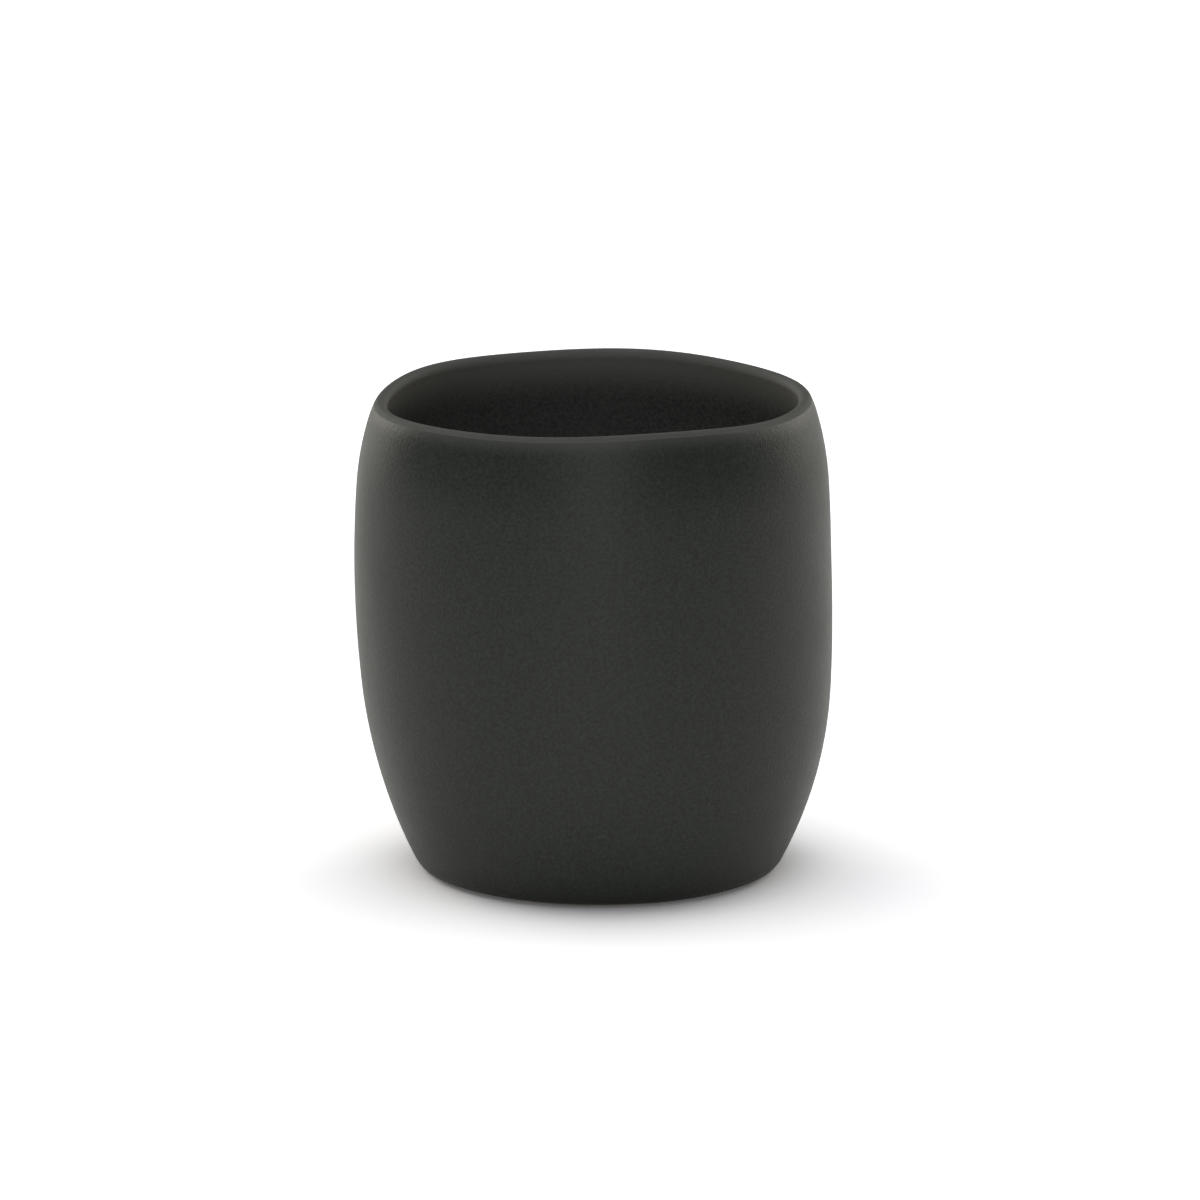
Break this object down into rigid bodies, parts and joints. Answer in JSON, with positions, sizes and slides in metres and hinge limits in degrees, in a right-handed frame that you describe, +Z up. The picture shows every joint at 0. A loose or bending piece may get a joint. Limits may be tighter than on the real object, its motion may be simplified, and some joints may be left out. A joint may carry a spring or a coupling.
{
  "type": "empty candle jar",
  "caption": "Barrel-shaped ceramic cup, open at the top with a thin rounded lip, made to hold poured wax and a wick.",
  "frame": {"origin": "centre of the foot ring, on the plane that the jar stands on", "axes": "+Z up along the jar's axis, out of the mouth; the jar is round, so X and Y are free"},
  "size_m": [0.086, 0.086, 0.088],
  "materials": {
    "fired_clay": "bare, dry and slightly gritty",
    "lining_glaze": "satin matte",
    "matte_coat": "matte, fine grained"
  },
  "bodies": {
    "root": {"clay_body": "fired_clay", "inside_glaze": "lining_glaze", "outside_coat": "matte_coat"}
  },
  "joints": []
}
